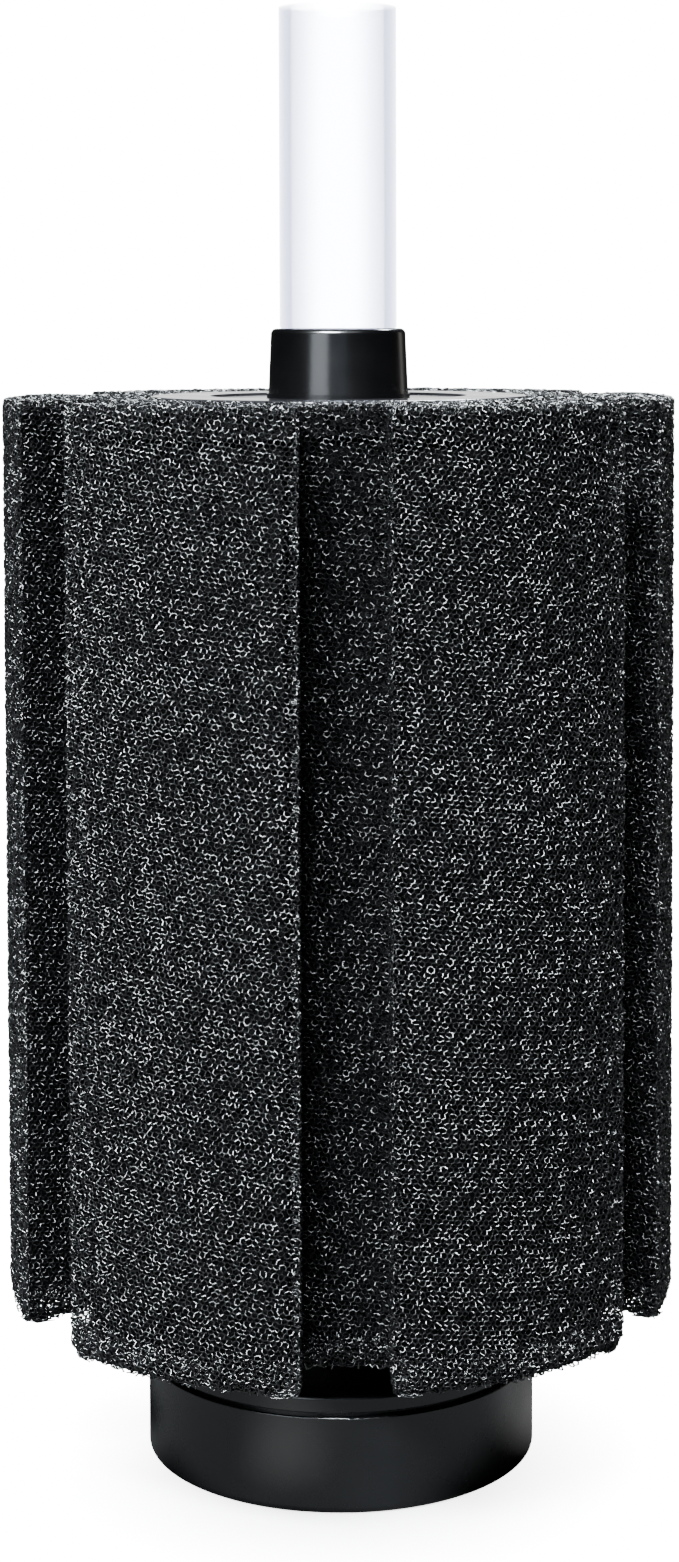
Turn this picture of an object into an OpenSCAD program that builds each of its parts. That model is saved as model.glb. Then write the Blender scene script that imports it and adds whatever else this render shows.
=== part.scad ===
// Sponge filter for an aquarium or pond: a fluted foam cylinder on a slotted core, a weighted
// round base below it, and a disc, a collar and a clear lift tube above it.
// Units are millimetres. Z is up and the base stands on Z = 0, with the core's axis on Z.

/* [Sponge] */
// outside diameter of the foam
sponge_d = 120; // [110:1:150]
// height of the foam
sponge_h = 161.5; // [120:0.5:220]
// number of lengthwise flutes
flutes = 6; // [4:1:8]
// width of a flute
flute_w = 14.4; // [10:0.2:18]
// depth of a flute
flute_depth = 14; // [8:1:16]
// rounding of the foam's lower rim
rim_r = 3; // [1:0.5:5]

/* [Base] */
// outside diameter of the weighted base
base_d = 70; // [66:1:80]
// height of the cup that holds the weight
cup_h = 17; // [15:0.5:24]
// height of the lid's edge above the cup
lid_h = 3.5; // [3:0.1:6]
// height of the neck between the lid and the foot disc
neck_h = 6.5; // [4:0.5:12]

/* [Core] */
// outside diameter of the slotted core
core_d = 30; // [30:1:34]
// rows of slots along the core
slot_rows = 5; // [3:1:7]
// slots around the core, an even number
slot_columns = 8; // [4:2:10]
// width of a slot
slot_w = 3; // [2:0.5:4]

/* [Top] */
// diameter of the disc on top of the foam
disc_d = 67.4; // [60:0.2:72]
// height of the collar above the disc
collar_h = 12.4; // [9:0.1:16]
// outside diameter of the lift tube
tube_d = 21; // [19:0.5:21]
// length of tube that shows above the collar
tube_free_h = 57.1; // [30:0.1:120]

/* [Hidden] */
$fn = 96;
over = 1;            // how far a cutting shape runs past the face it cuts
wall = 2;            // usual wall of the moulded parts
fit = 0.05;          // radial clearance of parts that push together
slip = 0.2;          // how much slimmer the lift tube is where it slides in the collar
foam_gap = 0.4;      // radial clearance between foam and hard parts

base_r = base_d / 2;
cup_wall = 2.2;
cup_floor = 2.4;
foot_recess = 0.8;   // hollow under the cup, so that it stands on a ring

lid_r = base_r - 0.7;
lid_z = cup_h + lid_h;
skirt_h = 4;
socket_r = core_d / 2;
socket_floor_z = cup_floor + 3.6;
socket_z = socket_floor_z + wall;

core_r = core_d / 2;
core_in_r = core_r - wall;
foot_r = core_r * 2;
flange_h = 2.3;
sponge_z = lid_z + neck_h + flange_h;
sponge_top = sponge_z + sponge_h;
core_top = sponge_top - 4.8;

disc_r = disc_d / 2;
disc_h = 2.3;
disc_z = sponge_top - disc_h + 0.1;   // the disc presses its own seat into the foam
disc_top = disc_z + disc_h;
dish_r = 23;
dish_h = 0.4;
dish_z = disc_top - dish_h;
hub_r = core_in_r - fit;
hub_h = 10.7;
hub_z = disc_z - hub_h;

tube_r = tube_d / 2;
tube_in_r = tube_r - wall;
hub_in_r = tube_in_r - 0.5;           // the ledge under the tube
tube_z = hub_z + 4;                   // the tube stands on a ledge in the hub
seal_seat_r = tube_r + 1.5;
seal_h = 2.5;
seal_z = tube_z + 2.1;
plug_z = seal_z + seal_h;
collar_low_r = tube_r + 2.1;
collar_top_r = tube_r + 1.6;
collar_top = dish_z + collar_h;
tube_top = collar_top + tube_free_h;

black_plastic = [0.04, 0.04, 0.045];
foam_black = [0.10, 0.10, 0.11];

// A ring from radius r_in to r_out between two heights.
module ring(r_out, r_in, z0, z1) {
    translate([0, 0, z0])
        difference() {
            cylinder(r = r_out, h = z1 - z0);
            translate([0, 0, -over])
                cylinder(r = r_in, h = z1 - z0 + 2 * over);
        }
}

// A disc between two heights, with its outside rounded at the bottom and at the top.
module round_disc(r, z0, z1, low_r, high_r) {
    rotate_extrude() {
        translate([0, z0])
            square([r - max(low_r, high_r), z1 - z0]);
        translate([0, z0 + low_r])
            square([r, z1 - z0 - low_r - high_r]);
        translate([0, z0])
            square([r - low_r, low_r]);
        translate([0, z1 - high_r])
            square([r - high_r, high_r]);
        intersection() {
            translate([r - low_r, z0 + low_r])
                circle(r = low_r);
            translate([0, z0])
                square([r, z1 - z0]);
        }
        intersection() {
            translate([r - high_r, z1 - high_r])
                circle(r = high_r);
            translate([0, z0])
                square([r, z1 - z0]);
        }
    }
}

// A round bar, or with difference() a round hole, between two heights.
module rod(r, z0, z1) {
    translate([0, 0, z0])
        cylinder(r = r, h = z1 - z0);
}

module base_cup() {
    color(black_plastic)
        difference() {
            round_disc(base_r, 0, cup_h, 1.2, 0.3);
            rod(base_r - cup_wall, cup_floor, cup_h + over);
            rod(base_r - 5, -over, foot_recess);
        }
}

module ballast_ring() {
    color([0.25, 0.26, 0.28])
        difference() {
            round_disc(base_r - cup_wall - 0.5, cup_floor, cup_h - skirt_h - 0.3, 1, 1);
            rod(socket_r + wall + 0.6, 0, cup_h);
        }
}

module base_lid() {
    lid_groove = 0.5;
    color(black_plastic)
        difference() {
            union() {
                round_disc(lid_r, cup_h + lid_groove, lid_z, 0.2, 0.8);
                rod(lid_r - 0.5, cup_h, lid_z - 1);
                ring(base_r - cup_wall - 0.1, base_r - 2 * cup_wall, cup_h - skirt_h, cup_h + over);
                rod(socket_r + wall, socket_floor_z, lid_z - 1);
            }
            rod(socket_r, socket_z, lid_z + over);
        }
}

module core_foot() {
    foot_low = socket_z + 0.3;
    color(black_plastic)
        difference() {
            union() {
                rod(socket_r - fit, foot_low, lid_z + over);
                rod(core_r + 2.5, lid_z, sponge_z - 1);
                round_disc(foot_r, sponge_z - flange_h, sponge_z, 0.8, 0.8);
                rod(core_in_r - fit, sponge_z - 1, sponge_z + 8);
            }
            rod(core_in_r - 0.5, foot_low - over, sponge_z - flange_h - 1);
            rod(core_in_r - 2.5, sponge_z, sponge_z + 8 + over);
        }
}

module core_tube() {
    slots_z = sponge_z + 12;
    pitch = (core_top - 12 - slots_z) / slot_rows;
    slot_h = pitch - 5;
    color(black_plastic)
        difference() {
            ring(core_r, core_in_r, sponge_z, core_top);
            for (row = [0 : slot_rows - 1], turn = [0 : slot_columns / 2 - 1])
                rotate([0, 0, turn * 360 / slot_columns])
                    translate([-core_r - over, -slot_w / 2, slots_z + row * pitch])
                        cube([2 * (core_r + over), slot_w, slot_h]);
        }
}

// The outline of one flute, cut from outside towards the axis, with rounded inner corners.
module flute_outline() {
    corner_r = 2;
    floor_x = sponge_d / 2 - flute_depth;
    reach = flute_depth + 2 * over;
    translate([floor_x + corner_r, -flute_w / 2])
        square([reach, flute_w]);
    translate([floor_x, -flute_w / 2 + corner_r])
        square([reach, flute_w - 2 * corner_r]);
    for (side = [-1, 1])
        translate([floor_x + corner_r, side * (flute_w / 2 - corner_r)])
            circle(r = corner_r);
}

module sponge() {
    color(foam_black)
        difference() {
            round_disc(sponge_d / 2, sponge_z, sponge_top, rim_r, 1);
            for (i = [0 : flutes - 1])
                rotate([0, 0, -90 + i * 360 / flutes])
                    translate([0, 0, sponge_z - over])
                        linear_extrude(height = sponge_h + 2 * over)
                            flute_outline();
            rod(core_r + foam_gap, sponge_z - over, sponge_top + over);
            rod(disc_r + foam_gap, disc_z, sponge_top + over);
        }
}

module top_disc() {
    color(black_plastic)
        difference() {
            union() {
                round_disc(disc_r, disc_z, disc_top, 0.3, 0.5);
                rod(hub_r, hub_z, disc_z + 1);
            }
            rod(dish_r, dish_z, disc_top + over);
            rod(seal_seat_r, seal_z, disc_top + over);
            rod(tube_r, tube_z, disc_top + over);
            rod(hub_in_r, hub_z - over, disc_top + over);
        }
}

module collar() {
    edge_r = 1;
    ledge_h = 0.8;
    color(black_plastic)
        difference() {
            union() {
                rotate_extrude() {
                    polygon([[0, dish_z],
                             [collar_low_r, dish_z],
                             [collar_top_r, collar_top - edge_r],
                             [0, collar_top - edge_r]]);
                    translate([0, collar_top - edge_r])
                        square([collar_top_r - edge_r, edge_r]);
                    translate([collar_top_r - edge_r, collar_top - edge_r])
                        circle(r = edge_r);
                    translate([0, dish_z])
                        square([collar_low_r + 0.25, ledge_h]);
                }
                rod(seal_seat_r - fit, plug_z, dish_z + over);
            }
            rod(tube_r, plug_z - over, collar_top + over);
        }
}

module seal_ring() {
    color([0.09, 0.09, 0.09])
        ring(seal_seat_r - fit, tube_r - slip + fit / 2, seal_z, plug_z);
}

module lift_tube() {
    color([0.85, 0.90, 0.94, 0.35])
        difference() {
            union() {
                rod(tube_r - slip, tube_z, collar_top + over);
                rod(tube_r, collar_top + 0.2, tube_top);
            }
            rod(tube_in_r, tube_z - over, tube_top + over);
        }
}

base_cup();
ballast_ring();
base_lid();
core_foot();
core_tube();
sponge();
top_disc();
collar();
seal_ring();
lift_tube();
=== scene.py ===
"""The looks of the sponge filter: its foam, its plastics and its clear tube, on a white studio floor.

Lengths are in metres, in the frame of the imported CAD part: Z up, the base on Z = 0, the viewer at -Y.
"""

import math

import bpy
import numpy as np
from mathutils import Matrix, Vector
from mathutils.geometry import delaunay_2d_cdt


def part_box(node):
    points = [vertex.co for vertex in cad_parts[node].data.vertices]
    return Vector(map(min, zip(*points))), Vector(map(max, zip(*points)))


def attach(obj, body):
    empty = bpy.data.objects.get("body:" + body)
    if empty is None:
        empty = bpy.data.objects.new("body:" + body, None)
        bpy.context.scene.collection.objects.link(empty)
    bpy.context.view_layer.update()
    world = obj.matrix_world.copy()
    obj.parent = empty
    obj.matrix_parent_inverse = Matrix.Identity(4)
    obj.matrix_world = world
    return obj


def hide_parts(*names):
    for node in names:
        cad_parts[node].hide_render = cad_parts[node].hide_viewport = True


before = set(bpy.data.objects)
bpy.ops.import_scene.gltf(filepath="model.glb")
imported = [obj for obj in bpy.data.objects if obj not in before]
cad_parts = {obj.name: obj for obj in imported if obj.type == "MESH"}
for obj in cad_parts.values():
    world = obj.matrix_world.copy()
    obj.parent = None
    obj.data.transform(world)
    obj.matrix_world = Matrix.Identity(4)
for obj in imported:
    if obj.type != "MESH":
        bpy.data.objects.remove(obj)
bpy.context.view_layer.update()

MM = 0.001


# ---------------------------------------------------------------- foam: its shape

FOAM_LOW, FOAM_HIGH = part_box("sponge")
FOAM_Z = FOAM_LOW[2]
FOAM_H = FOAM_HIGH[2] - FOAM_LOW[2]
FOAM_R = 60.0 * MM
FLUTE_FLOOR_R = 46.0 * MM
DISC_SEAT_R = 34.0 * MM
DISC_SEAT_DEPTH = 2.5 * MM  # how far the seat's strands start under the foam's top
BORE_R = 16.0 * MM
# One row per flute: its direction in degrees seen from above, and half its width in mm.
FLUTES = (
    (-89.1, 7.15),
    (-29.1, 7.1),
    (30.6, 7.3),
    (91.2, 7.0),
    (150.4, 7.4),
    (211.9, 8.0),
)
TOP_RIM = 1.0 * MM
BOTTOM_RIM = 3.0 * MM

# ---------------------------------------------------------------- foam: its strands

CELL = 1.03 * MM  # pitch of the cells on the sides
FACE_CELL = 1.2 * MM  # pitch of the cells on the flat faces
HONEYCOMB_ROW = 0.866  # spacing of a regular honeycomb's rows as a share of its pitch
CELL_SQUASH = 0.88  # height of a cell as a share of a regular honeycomb's
CELL_SHAKE = 0.20  # how far a cell's middle is off the honeycomb, as a share of its pitch
NET_TURN = math.radians(-8)
STRAND_R = 0.135 * MM
THINNEST, THICKEST = 0.75, 1.35  # range of a strand's thickness as a share of the usual one
SWELL = 1.15  # how much thicker a strand is at its start
MISSING_SHARE = 0.02  # share of the strands that are left out
LAYER_DEPTH = 0.75 * MM  # how far under the surface a knot may lie
LEG = 1.2 * MM  # how far a leg runs inwards from its knot
LEG_SHARE = 0.45  # share of the knots that have a leg
LEG_LEAN = 0.45  # how far a leg may lean sideways, as a share of the pitch
FACE_MARGIN = 0.8 * MM  # how far the strands of a flat face stay inside the outline
STEP = 0.2 * MM  # spacing of the points of the outline
CORNER = 0.5 * MM  # rounding of the outline's corners
RIB_SLACK = 0.4 * MM  # how far inside the foam's radius the outline still counts as a rib
SIDE_ENDS = 0.15 * MM  # how far the side's strands stay inside the top and the bottom

RIM_CELL = 0.85 * MM
RIM_STRAND_R = 0.09 * MM
RIM_H = 6 * MM
RIM_LAYERS = (("near", 0.2 * MM), ("deep", 1.3 * MM))  # where each layer of the rim starts
RIM_LAYER_DEPTH = 1.0 * MM

# The heart and the crown are near-black bodies under the strands: painted shade standing in for the
# foam's shaded depth.
HEART_STEP = 0.8 * MM  # spacing of the points of the dark bodies' outlines
HEART_CORNER = 3 * MM
HEART_DEPTH = 2.2 * MM  # how far the heart lies under the sides
HEART_FOOT = 3 * MM  # how far the heart ends above the bottom, and the height of its slanted foot
HEART_FOOT_SHARE = 0.97  # size of the foot's lower end as a share of the heart's outline
HEART_HEAD = 4.5 * MM  # how far the heart ends under the top
CROWN_CORNER = 1.2 * MM
CROWN_DEPTH = 1.2 * MM  # how far the crown lies under the sides and the top
CROWN_LAP = 1.0 * MM  # how far the crown reaches down past the heart's top
CROWN_SEAT_R = DISC_SEAT_R + 0.6 * MM

rng = np.random.default_rng(7)


def flute_corner_points():
    """The foam's outline seen from above, anticlockwise, with sharp corners."""
    points = []
    for i, (degrees, half_mm) in enumerate(FLUTES):
        angle, half = math.radians(degrees), half_mm * MM
        along = np.array([math.cos(angle), math.sin(angle)])
        across = np.array([-math.sin(angle), math.cos(angle)])
        lip = math.sqrt(FOAM_R**2 - half**2)
        points += [
            along * lip - across * half,
            along * FLUTE_FLOOR_R - across * half,
            along * FLUTE_FLOOR_R + across * half,
            along * lip + across * half,
        ]
        next_degrees, next_half_mm = FLUTES[(i + 1) % len(FLUTES)]
        start = angle + math.asin(half / FOAM_R)
        end = math.radians(next_degrees) - math.asin(next_half_mm * MM / FOAM_R)
        end += 2 * math.pi * (end < start)
        for t in np.linspace(start, end, 60)[1:-1]:
            points.append(FOAM_R * np.array([math.cos(t), math.sin(t)]))
    return np.array(points)


def evenly(points, step):
    """A closed line again, with its points an even step apart."""
    closed = np.vstack([points, points[:1]])
    along = np.concatenate([[0], np.cumsum(np.linalg.norm(np.diff(closed, axis=0), axis=1))])
    count = int(along[-1] / step)
    at = np.arange(count) * along[-1] / count
    return np.stack([np.interp(at, along, closed[:, k]) for k in range(2)], axis=1)


def smoothed(points, spread):
    """A closed line with its corners rounded by a moving average that is spread points wide."""
    reach = int(3 * spread)
    weights = np.exp(-0.5 * (np.arange(-reach, reach + 1) / spread) ** 2)
    weights /= weights.sum()
    return sum(w * np.roll(points, k, axis=0) for w, k in zip(weights, range(-reach, reach + 1)))


def outline(corner_size, step):
    """The foam's outline with rounded corners, and the outward direction at each of its points."""
    line = evenly(smoothed(evenly(flute_corner_points(), step), corner_size / step), step)
    along = np.roll(line, -1, axis=0) - np.roll(line, 1, axis=0)
    along /= np.linalg.norm(along, axis=1)[:, None]
    return line, np.stack([along[:, 1], -along[:, 0]], axis=1)


OUTLINE, OUTWARD = outline(CORNER, STEP)
ON_RIB = np.hypot(*OUTLINE.T) > FOAM_R - RIB_SLACK
FIRST_LIP = np.argmax(ON_RIB & ~np.roll(ON_RIB, -1)) + 1
OUTLINE, OUTWARD, ON_RIB = (np.roll(a, -FIRST_LIP, axis=0) for a in (OUTLINE, OUTWARD, ON_RIB))
# Which flute (even numbers) or rib (odd numbers) each point of the outline belongs to.
PART = np.cumsum(ON_RIB != np.roll(ON_RIB, 1)) - 1
ROUND = len(OUTLINE) * STEP


def rim_inset(v):
    """How far the side draws in at height v, for the rounded rims."""
    low = np.clip(BOTTOM_RIM - v, 0, BOTTOM_RIM)
    high = np.clip(v - (FOAM_H - TOP_RIM), 0, TOP_RIM)
    low_inset = BOTTOM_RIM - np.sqrt(BOTTOM_RIM**2 - low**2)
    high_inset = TOP_RIM - np.sqrt(TOP_RIM**2 - high**2)
    return low_inset + high_inset


def on_side(u, v, depth):
    """The place of a point u along the outline and v up the side, depth under the surface."""
    at = (u / STEP) % len(OUTLINE)
    i = at.astype(int) % len(OUTLINE)
    j = (i + 1) % len(OUTLINE)
    part = (at - np.floor(at))[:, None]
    line = OUTLINE[i] * (1 - part) + OUTLINE[j] * part
    normal = OUTWARD[i] * (1 - part) + OUTWARD[j] * part
    v = np.clip(v, SIDE_ENDS, FOAM_H - SIDE_ENDS)
    flat = line - normal * (depth + rim_inset(v))[:, None]
    return np.column_stack([flat, FOAM_Z + v])


def in_foam(x, y, margin):
    """Whether each point lies inside the foam's outline, seen from above, by at least that margin."""
    inside = np.hypot(x, y) < FOAM_R - margin
    for degrees, half_mm in FLUTES:
        angle = math.radians(degrees)
        along = x * math.cos(angle) + y * math.sin(angle)
        across = -x * math.sin(angle) + y * math.cos(angle)
        inside &= (along < FLUTE_FLOOR_R - margin) | (np.abs(across) > half_mm * MM + margin)
    return inside


def cell_seeds(low, high, pitch):
    """The middles of the foam's cells over a rectangle: a slightly turned honeycomb, shaken."""
    low, high = np.array(low), np.array(high)
    row_pitch = pitch * HONEYCOMB_ROW * CELL_SQUASH
    reach = int(np.hypot(*(high - low)) / 2 / row_pitch) + 2
    column, row = np.meshgrid(np.arange(-reach, reach + 1), np.arange(-reach, reach + 1))
    u = ((column + row % 2 / 2) * pitch).ravel()
    v = (row * row_pitch).ravel()
    cos, sin = math.cos(NET_TURN), math.sin(NET_TURN)
    turned = np.stack([u * cos - v * sin, u * sin + v * cos], axis=1)
    seeds = turned + (low + high) / 2
    seeds = seeds[np.all((seeds > low - pitch) & (seeds < high + pitch), axis=1)]
    return seeds + rng.uniform(-CELL_SHAKE, CELL_SHAKE, seeds.shape) * pitch


def cell_net(low, high, pitch):
    """A net of irregular cells over a rectangle: its knots, and pairs of knots that a strand joins."""
    seeds = cell_seeds(low, high, pitch)
    made = delaunay_2d_cdt([Vector(s) for s in seeds / pitch], [], [], 0, 1e-6)
    places = np.array([tuple(p) for p in made[0]]) * pitch
    triangles = np.array(made[2])
    knots = places[triangles].mean(axis=1)
    sides = np.sort(triangles[:, [0, 1, 1, 2, 2, 0]].reshape(-1, 2), axis=1)
    key = sides[:, 0] * len(places) + sides[:, 1]
    order = np.argsort(key, kind="stable")
    same = key[order][1:] == key[order][:-1]
    pairs = np.stack([order[:-1][same] // 3, order[1:][same] // 3], axis=1)
    long = np.linalg.norm(knots[pairs[:, 0]] - knots[pairs[:, 1]], axis=1) > 2 * pitch
    return knots, pairs[~long]


def prisms(start, end, radius):
    """Three-sided strands from start to end: their points and their four-cornered faces."""
    axis = end - start
    axis /= np.maximum(np.linalg.norm(axis, axis=1), 1e-9)[:, None]
    helper = np.where(np.abs(axis[:, 2:]) < 0.8, [[0.0, 0.0, 1.0]], [[1.0, 0.0, 0.0]])
    side = np.cross(axis, helper)
    side /= np.linalg.norm(side, axis=1)[:, None]
    other = np.cross(axis, side)
    turn = rng.uniform(0, 2 * math.pi, len(start))
    ends = []
    for place, swell in ((start, SWELL), (end, 1.0)):
        for corner in range(3):
            angle = turn + corner * 2 * math.pi / 3
            arm = side * np.cos(angle)[:, None] + other * np.sin(angle)[:, None]
            ends.append(place + arm * (radius * swell)[:, None])
    points = np.stack(ends, axis=1).reshape(-1, 3)
    first = np.arange(len(start))[:, None] * 6
    faces = np.concatenate([first + [0, 1, 4, 3], first + [1, 2, 5, 4], first + [2, 0, 3, 5]], axis=1)
    return points, faces.reshape(-1, 4)


def add_object(name, data):
    made = bpy.data.objects.new(name, data)
    bpy.context.scene.collection.objects.link(made)
    return made


def mesh_piece(name, points, faces, material):
    """A mesh object from arrays of points and equal-sized faces."""
    mesh = bpy.data.meshes.new(name)
    corners = faces.shape[1]
    mesh.vertices.add(len(points))
    mesh.vertices.foreach_set("co", points.astype(np.float32).ravel())
    mesh.loops.add(faces.size)
    mesh.loops.foreach_set("vertex_index", faces.astype(np.int32).ravel())
    mesh.polygons.add(len(faces))
    mesh.polygons.foreach_set("loop_start", np.arange(len(faces), dtype=np.int32) * corners)
    mesh.update(calc_edges=True)
    mesh.polygons.foreach_set("use_smooth", np.ones(len(faces), bool))
    mesh.materials.append(material)
    return add_object(name, mesh)


def as_foam(made):
    """Lets a piece stand for the CAD sponge and lift off with it."""
    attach(made, "foam")
    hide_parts("sponge")


def foam_piece(name, points, faces, material):
    as_foam(mesh_piece(name, points, faces, material))


def strands(place, low, high, pitch, radius, depth_low, depth_high, keep):
    """The strands of one net. place(u, v, depth) puts a point of it in space.
    Returns starts, ends, radii and each strand's own (u, v)."""
    knots, pairs = cell_net(low, high, pitch)
    pairs = pairs[keep(knots[pairs].mean(axis=1))]
    pairs = pairs[rng.random(len(pairs)) > MISSING_SHARE]
    depth = rng.uniform(depth_low, depth_high, len(knots))
    at = place(knots[:, 0], knots[:, 1], depth)
    used = np.unique(pairs)
    used = used[rng.random(len(used)) < LEG_SHARE]
    lean = rng.uniform(-LEG_LEAN, LEG_LEAN, knots.shape) * pitch
    foot = place(knots[:, 0] + lean[:, 0], knots[:, 1] + lean[:, 1], depth + LEG)
    starts = np.concatenate([at[pairs[:, 0]], at[used]])
    ends = np.concatenate([at[pairs[:, 1]], foot[used]])
    radii = radius * rng.uniform(THINNEST, THICKEST, len(starts))
    middle = np.concatenate([knots[pairs].mean(axis=1), knots[used]])
    return starts, ends, radii, middle


def add_sides(flute_material, rib_material):
    """The flutes and ribs all round, each one in a low and a high piece."""
    starts, ends, radii, middle = strands(
        on_side,
        (0, 0),
        (ROUND, FOAM_H),
        CELL,
        STRAND_R,
        0.0,
        LAYER_DEPTH,
        lambda m: (m[:, 0] > 0) & (m[:, 0] < ROUND) & (m[:, 1] > 0) & (m[:, 1] < FOAM_H),
    )
    part_of = PART[np.clip(middle[:, 0] / STEP, 0, len(PART) - 1).astype(int)]
    is_high = middle[:, 1] > FOAM_H / 2
    kinds = (("flute", flute_material), ("rib", rib_material))
    for part in range(2 * len(FLUTES)):
        kind, material = kinds[part % 2]
        for end, wanted in (("low", ~is_high), ("high", is_high)):
            mine = (part_of == part) & wanted
            made = prisms(starts[mine], ends[mine], radii[mine])
            foam_piece(f"foam_{kind}_{part // 2 + 1}_{end}", *made, material)


def add_face(name, level, inward, inner_r, outer_r, material):
    """A flat face of the foam. inward is +1 or -1, the way along Z from the face into the foam."""

    def place(x, y, depth):
        return np.column_stack([x, y, level + inward * depth])

    def keep(m):
        from_axis = np.hypot(m[:, 0], m[:, 1])
        in_ring = (from_axis > inner_r) & (from_axis < outer_r)
        return in_foam(m[:, 0], m[:, 1], FACE_MARGIN) & in_ring

    starts, ends, radii, _ = strands(
        place, (-outer_r, -outer_r), (outer_r, outer_r), FACE_CELL, STRAND_R, 0.0, LAYER_DEPTH, keep
    )
    foam_piece(name, *prisms(starts, ends, radii), material)


def add_rim(material):
    """The open strands under the bottom rim, in two layers behind its outer ones."""
    for layer, depth in RIM_LAYERS:
        starts, ends, radii, _ = strands(
            on_side,
            (0, 0),
            (ROUND, RIM_H),
            RIM_CELL,
            RIM_STRAND_R,
            depth,
            depth + RIM_LAYER_DEPTH,
            lambda m: m[:, 1] < RIM_H,
        )
        foam_piece(f"foam_rim_{layer}", *prisms(starts, ends, radii), material)


def flat_ring(outer, inner):
    """Triangles between two closed lines of equally many points, numbered through the outer one first."""
    count = len(outer)
    around = [(k, (k + 1) % count) for k in range(count)]
    edges = around + [(a + count, b + count) for a, b in around]
    places = [Vector(p) for p in np.concatenate([outer, inner]) / MM]
    made = delaunay_2d_cdt(places, edges, [], 1, 1e-5)
    triangles = [[made[3][corner][0] for corner in face] for face in made[2]]
    return [face for face in triangles if min(face) < count]


def closed_body(name, rings, material):
    """A dark body under the foam's strands, painted shade for the foam's shaded depth, its skin drawn
    through closed lines, each with its height.
    The lines go up the outside, over the top, down the hole and back under the bottom."""
    count = len(rings[0][0])
    points = np.concatenate([np.column_stack([line, np.full(count, z)]) for line, z in rings])
    here = np.arange(count)
    following = (here + 1) % count
    faces = []
    for a, (line, z) in enumerate(rings):
        b = (a + 1) % len(rings)
        next_line, next_z = rings[b]
        if z != next_z:
            start, end = a * count, b * count
            corners = (here + start, following + start, following + end, here + end)
            faces += np.stack(corners, axis=1).tolist()
            continue
        inwards = np.abs(line).max() > np.abs(next_line).max()
        outer, inner = (a, b) if inwards else (b, a)
        for face in flat_ring(rings[outer][0], rings[inner][0]):
            numbers = [k + outer * count if k < count else k + (inner - 1) * count for k in face]
            faces.append(numbers if inwards else numbers[::-1])
    mesh = bpy.data.meshes.new(name)
    mesh.from_pydata(points.tolist(), [], faces)
    mesh.materials.append(material)
    as_foam(add_object(name, mesh))


def circle(radius, count):
    turns = np.linspace(0, 2 * math.pi, count, endpoint=False)
    return radius * np.column_stack([np.cos(turns), np.sin(turns)])


def inset_outline(corner_size, depth):
    side, normal = outline(corner_size, HEART_STEP)
    return side - normal * depth


def add_shade_bodies(material):
    """Painted shade under all strands, a near-black stand-in for the foam's shaded depth: a body with the
    bore, and a crown nearer the top.
    """
    side = inset_outline(HEART_CORNER, HEART_DEPTH)
    bore = circle(BORE_R, len(side))
    low = FOAM_Z + HEART_FOOT
    high = FOAM_Z + FOAM_H - HEART_HEAD
    closed_body(
        "foam_shade_heart",
        (
            (side * HEART_FOOT_SHARE, low),
            (side, low + HEART_FOOT),
            (side, high),
            (bore, high),
            (bore, low),
        ),
        material,
    )
    side = inset_outline(CROWN_CORNER, CROWN_DEPTH)
    seat = circle(CROWN_SEAT_R, len(side))
    low = high - CROWN_LAP
    high = FOAM_Z + FOAM_H - CROWN_DEPTH
    closed_body("foam_shade_crown", ((side, low), (side, high), (seat, high), (seat, low)), material)


# ---------------------------------------------------------------- materials


class Nodes:
    """Short ways to add shader nodes to one material or world."""

    def __init__(self, tree):
        self.tree = tree
        tree.nodes.clear()

    def add(self, kind, **values):
        node = self.tree.nodes.new(kind)
        for name, value in values.items():
            setattr(node, name, value)
        return node

    def link(self, source, target):
        self.tree.links.new(source, target)

    def coords(self):
        return self.add("ShaderNodeTexCoord").outputs["Object"]

    def noise(self, coords, scale, detail=3.0, stretch=(1, 1, 1)):
        mapping = self.add("ShaderNodeMapping")
        mapping.inputs["Scale"].default_value = stretch
        self.link(coords, mapping.inputs["Vector"])
        made = self.add("ShaderNodeTexNoise")
        made.inputs["Scale"].default_value = scale
        made.inputs["Detail"].default_value = detail
        self.link(mapping.outputs["Vector"], made.inputs["Vector"])
        return made.outputs["Fac"]

    def ramp(self, source, low, high, start=0.35, end=0.65):
        """Turns a 0 to 1 pattern into a colour between low and high."""
        made = self.add("ShaderNodeValToRGB")
        made.color_ramp.elements[0].position = start
        made.color_ramp.elements[0].color = (*low, 1)
        made.color_ramp.elements[1].position = end
        made.color_ramp.elements[1].color = (*high, 1)
        self.link(source, made.inputs["Fac"])
        return made.outputs["Color"]

    def span(self, source, low, high, start=0.3, end=0.7):
        """Turns a number that goes from start to end into one that goes from low to high."""
        made = self.add("ShaderNodeMapRange")
        made.inputs["From Min"].default_value = start
        made.inputs["From Max"].default_value = end
        made.inputs["To Min"].default_value = low
        made.inputs["To Max"].default_value = high
        self.link(source, made.inputs["Value"])
        return made.outputs["Result"]

    def bump(self, source, strength, distance):
        made = self.add("ShaderNodeBump")
        made.inputs["Strength"].default_value = strength
        made.inputs["Distance"].default_value = distance
        self.link(source, made.inputs["Height"])
        return made.outputs["Normal"]


def new_material(name):
    made = bpy.data.materials.new(name)
    made.use_nodes = True
    nodes = Nodes(made.node_tree)
    shader = nodes.add("ShaderNodeBsdfPrincipled")
    nodes.link(shader.outputs[0], nodes.add("ShaderNodeOutputMaterial").inputs["Surface"])
    return made, nodes, shader


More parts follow.
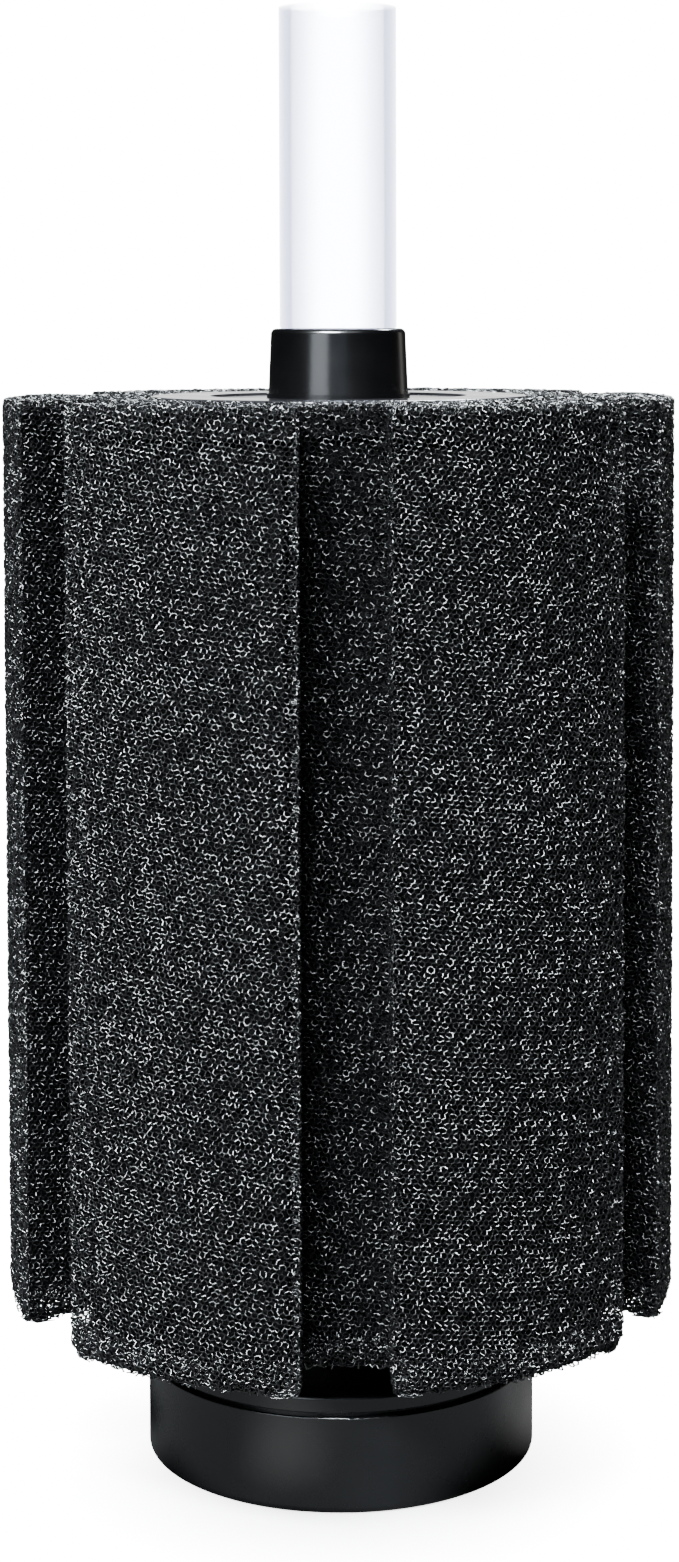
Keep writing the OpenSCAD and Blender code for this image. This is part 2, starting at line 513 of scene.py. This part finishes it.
def moulded_plastic(name, dark, light, rough_low, rough_high, grain_scale, grain_depth, shine=0.5):
    """Black injection-moulded plastic with a fine grain and a slightly uneven polish."""
    made, nodes, shader = new_material(name)
    coords = nodes.coords()
    nodes.link(nodes.ramp(nodes.noise(coords, 60), dark, light), shader.inputs["Base Color"])
    nodes.link(nodes.span(nodes.noise(coords, 130), rough_low, rough_high), shader.inputs["Roughness"])
    grain = nodes.noise(coords, grain_scale, detail=2.0)
    nodes.link(nodes.bump(grain, 0.35, grain_depth), shader.inputs["Normal"])
    shader.inputs["Specular IOR Level"].default_value = shine
    return made


def foam_strand_material(name, shine):
    """Black foam, its strands smooth enough to catch the light as fine bright dashes."""
    made, nodes, shader = new_material(name)
    coords = nodes.coords()
    tone = nodes.ramp(nodes.noise(coords, 900), (0.0006, 0.0006, 0.0007), (0.0018, 0.0018, 0.0021))
    nodes.link(tone, shader.inputs["Base Color"])
    nodes.link(nodes.span(nodes.noise(coords, 700), 0.20, 0.32), shader.inputs["Roughness"])
    nodes.link(nodes.bump(nodes.noise(coords, 1700), 0.5, 0.0001), shader.inputs["Normal"])
    shader.inputs["Specular IOR Level"].default_value = shine
    return made


def foam_depth_shade_material():
    """Painted shade: near-black, for the shaded depth of the foam's cells."""
    made, nodes, shader = new_material("foam_shadow")
    coords = nodes.coords()
    tone = nodes.ramp(nodes.noise(coords, 800), (0.0002, 0.0002, 0.0003), (0.0008, 0.0008, 0.0010))
    nodes.link(tone, shader.inputs["Base Color"])
    nodes.link(nodes.span(nodes.noise(coords, 500), 0.75, 0.95), shader.inputs["Roughness"])
    nodes.link(nodes.bump(nodes.noise(coords, 900), 0.8, 0.0004), shader.inputs["Normal"])
    shader.inputs["Specular IOR Level"].default_value = 0.1
    return made


def clear_tube_material():
    """Clear drawn tube, with faint lines along it and a blue-grey tint through its thickness."""
    made, nodes, shader = new_material("clear_tube")
    coords = nodes.coords()
    draw = nodes.noise(coords, 90, detail=1.0, stretch=(1, 1, 0.05))
    nodes.link(nodes.ramp(draw, (0.97, 0.98, 0.99), (0.99, 0.995, 1.0)), shader.inputs["Base Color"])
    nodes.link(nodes.span(draw, 0.02, 0.06), shader.inputs["Roughness"])
    nodes.link(nodes.bump(draw, 0.15, 0.0001), shader.inputs["Normal"])
    shader.inputs["Transmission Weight"].default_value = 1.0
    shader.inputs["IOR"].default_value = 1.49
    shader.inputs["Alpha"].default_value = 0.3
    depth = nodes.add("ShaderNodeVolumeAbsorption")
    depth.inputs["Color"].default_value = (0.18, 0.22, 0.40, 1.0)
    depth.inputs["Density"].default_value = 215.0
    output = next(n for n in made.node_tree.nodes if n.type == "OUTPUT_MATERIAL")
    nodes.link(depth.outputs[0], output.inputs["Volume"])
    return made


def ballast_material():
    """Cast iron under a grey coat."""
    made, nodes, shader = new_material("coated_iron")
    coords = nodes.coords()
    nodes.link(
        nodes.ramp(nodes.noise(coords, 140), (0.10, 0.105, 0.11), (0.17, 0.175, 0.18)),
        shader.inputs["Base Color"],
    )
    nodes.link(nodes.span(nodes.noise(coords, 200), 0.45, 0.65), shader.inputs["Roughness"])
    nodes.link(nodes.bump(nodes.noise(coords, 900), 0.5, 0.0002), shader.inputs["Normal"])
    shader.inputs["Metallic"].default_value = 0.6
    return made


def dress(materials):
    """Gives each CAD node that shows its material."""
    for node, material in materials.items():
        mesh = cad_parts[node].data
        mesh.materials.clear()
        mesh.materials.append(material)


# ---------------------------------------------------------------- studio


def add_camera():
    """The photograph's camera: half a metre away at the foam's top, looking slightly down."""
    data = bpy.data.cameras.new("camera")
    data.sensor_width = 36.0
    data.lens = 66.9
    data.shift_x = 0.0006
    data.shift_y = -0.193
    camera = add_object("camera", data)
    camera.location = (0.0, -0.5213, 0.2058)
    camera.rotation_euler = (math.radians(90 - 3.3), 0, 0)
    camera.rotation_euler.rotate_axis("Z", math.radians(-0.156))
    bpy.context.scene.camera = camera


def see_or_light(nodes, seen, through, lighting):
    """A strength: seen where the camera looks, through where it looks through glass, else lighting."""
    path = nodes.add("ShaderNodeLightPath")
    strength = lighting
    for ray, value in (("Is Transmission Ray", through), ("Is Camera Ray", seen)):
        mix = nodes.add("ShaderNodeMapRange")
        nodes.link(path.outputs[ray], mix.inputs["Value"])
        for end, source in (("To Min", strength), ("To Max", value)):
            if isinstance(source, (int, float)):
                mix.inputs[end].default_value = source
            else:
                nodes.link(source, mix.inputs[end])
        strength = mix.outputs["Result"]
    return strength


def distance_from(nodes, place):
    """The distance of each point of a surface from a place on its object."""
    made = nodes.add("ShaderNodeVectorMath", operation="DISTANCE")
    made.inputs[1].default_value = place
    nodes.link(nodes.coords(), made.inputs[0])
    return made.outputs["Value"]


def add_world():
    """White all round to the eye. As light it is dim but for a bright field behind the object."""
    world = bpy.data.worlds.new("studio")
    world.use_nodes = True
    bpy.context.scene.world = world
    nodes = Nodes(world.node_tree)
    split = nodes.add("ShaderNodeSeparateXYZ")
    nodes.link(nodes.add("ShaderNodeTexCoord").outputs["Generated"], split.inputs[0])
    towards_back = split.outputs["Y"]
    light = nodes.span(towards_back, 0.03, 2.5, start=0.97, end=0.998)
    through = nodes.span(towards_back, 12.0, 60.0, start=0.94, end=0.99)
    shader = nodes.add("ShaderNodeBackground")
    nodes.link(see_or_light(nodes, 22.0, through, light), shader.inputs["Strength"])
    nodes.link(shader.outputs[0], nodes.add("ShaderNodeOutputWorld").inputs["Surface"])


def add_floor():
    """A wide white floor, seen by the camera as a painted glow: bright all round, with a painted soft
    shadow under the object.
    Two small painted pools of light on the floor beside the base glow only for light rays, not for the
    camera, and give its wall the highlights in reflection."""
    half = 6.0
    corners = [(-half, -half, 0), (half, -half, 0), (half, half, 0), (-half, half, 0)]
    mesh = bpy.data.meshes.new("floor")
    mesh.from_pydata(corners, [], [(0, 1, 2, 3)])
    material = bpy.data.materials.new("white_floor")
    material.use_nodes = True
    nodes = Nodes(material.node_tree)
    lit = nodes.add("ShaderNodeBsdfDiffuse")
    nodes.link(see_or_light(nodes, 0.5, 0.5, 0.036), lit.inputs["Color"])
    # Painted shadow: the glow the camera sees is dim under the object and full further out.
    bright = nodes.span(distance_from(nodes, (0, -0.012, 0)), 3.0, 18.0, start=0.023, end=0.062)
    # Painted pools of light: glow that only light rays see, placed to give the base's wall its
    # highlights.
    left_pool = nodes.span(distance_from(nodes, (-0.026, -0.062, 0)), 0.6, 0.0, start=0.006, end=0.026)
    right_pool = nodes.span(distance_from(nodes, (0.058, 0.008, 0)), 0.35, 0.0, start=0.012, end=0.030)
    pools = nodes.add("ShaderNodeMath", operation="ADD")
    nodes.link(left_pool, pools.inputs[0])
    nodes.link(right_pool, pools.inputs[1])
    glow = nodes.add("ShaderNodeEmission")
    nodes.link(see_or_light(nodes, bright, bright, pools.outputs[0]), glow.inputs["Strength"])
    both = nodes.add("ShaderNodeAddShader")
    nodes.link(lit.outputs[0], both.inputs[0])
    nodes.link(glow.outputs[0], both.inputs[1])
    nodes.link(both.outputs[0], nodes.add("ShaderNodeOutputMaterial").inputs["Surface"])
    mesh.materials.append(material)
    add_object("floor", mesh)


def add_softbox(name, place, aim, size, power, colour):
    data = bpy.data.lights.new(name, "AREA")
    data.shape = "RECTANGLE"
    data.size, data.size_y = size
    data.energy = power
    data.color = colour
    lamp = add_object(name, data)
    lamp.location = place
    lamp.rotation_euler = (Vector(aim) - Vector(place)).to_track_quat("-Z", "Y").to_euler()


def add_foam():
    strand = foam_strand_material("foam_strand", 1.0)
    # The flutes get a copy of the strand material with less than half the shine, so that they look darker
    # than the ribs.
    add_sides(foam_strand_material("foam_flute_strand", 0.45), strand)
    add_face("foam_top", FOAM_Z + FOAM_H, -1, DISC_SEAT_R, FOAM_R, strand)
    add_face("foam_bottom", FOAM_Z, 1, BORE_R, FOAM_R, strand)
    add_rim(strand)
    add_face("foam_seat", FOAM_Z + FOAM_H - DISC_SEAT_DEPTH, -1, BORE_R, DISC_SEAT_R, strand)
    # Painted shade: near-black bodies under the strands for the foam's shaded depth.
    add_shade_bodies(foam_depth_shade_material())


def dress_hard_parts():
    satin = moulded_plastic(
        "satin_black",
        dark=(0.0010, 0.0011, 0.0014),
        light=(0.0018, 0.0019, 0.0024),
        rough_low=0.26,
        rough_high=0.29,
        grain_scale=900,
        grain_depth=0.00004,
        shine=1.0,
    )
    gloss = moulded_plastic(
        "gloss_black",
        dark=(0.0003, 0.0003, 0.0004),
        light=(0.0006, 0.0006, 0.0008),
        rough_low=0.20,
        rough_high=0.24,
        grain_scale=700,
        grain_depth=0.00002,
        shine=1.0,
    )
    disc = moulded_plastic(
        "disc_black",
        dark=(0.010, 0.010, 0.011),
        light=(0.016, 0.016, 0.018),
        rough_low=0.10,
        rough_high=0.16,
        grain_scale=500,
        grain_depth=0.00002,
    )
    core = moulded_plastic(
        "core_black",
        dark=(0.010, 0.010, 0.012),
        light=(0.016, 0.016, 0.018),
        rough_low=0.38,
        rough_high=0.50,
        grain_scale=800,
        grain_depth=0.00004,
    )
    rubber = moulded_plastic(
        "seal_rubber",
        dark=(0.012, 0.012, 0.012),
        light=(0.020, 0.020, 0.020),
        rough_low=0.60,
        rough_high=0.75,
        grain_scale=1500,
        grain_depth=0.00006,
    )
    dress(
        {
            "base_cup": satin,
            "base_lid": satin,
            "ballast_ring": ballast_material(),
            "core_foot": core,
            "core_tube": core,
            "top_disc": disc,
            "collar": gloss,
            "seal_ring": rubber,
            "lift_tube": clear_tube_material(),
        }
    )


def add_lights():
    middle = (0, 0, 0.12)
    add_softbox("key", (-0.32, -1.02, 1.31), middle, (0.70, 0.26), 245.0, (0.90, 0.96, 1.0))
    add_softbox("side", (-0.63, -1.02, 0.30), middle, (0.62, 0.50), 3.2, (0.86, 0.93, 1.0))
    add_softbox("front", (0.03, -1.20, 0.30), (0, 0, 0.20), (0.55, 0.50), 0.22, (0.62, 0.80, 1.0))
    add_softbox("fill", (0.60, -0.86, 1.35), middle, (0.40, 0.40), 1.0, (0.94, 0.97, 1.0))
    add_softbox("back", (0.30, 1.02, 1.20), middle, (0.70, 0.26), 45.0, (0.90, 0.96, 1.0))
    add_softbox("edge", (0.95, 0.85, 0.20), (0, 0, 0.10), (0.25, 0.60), 0.3, (1.0, 0.95, 0.88))


add_foam()
dress_hard_parts()
add_world()
add_floor()
add_lights()
add_camera()
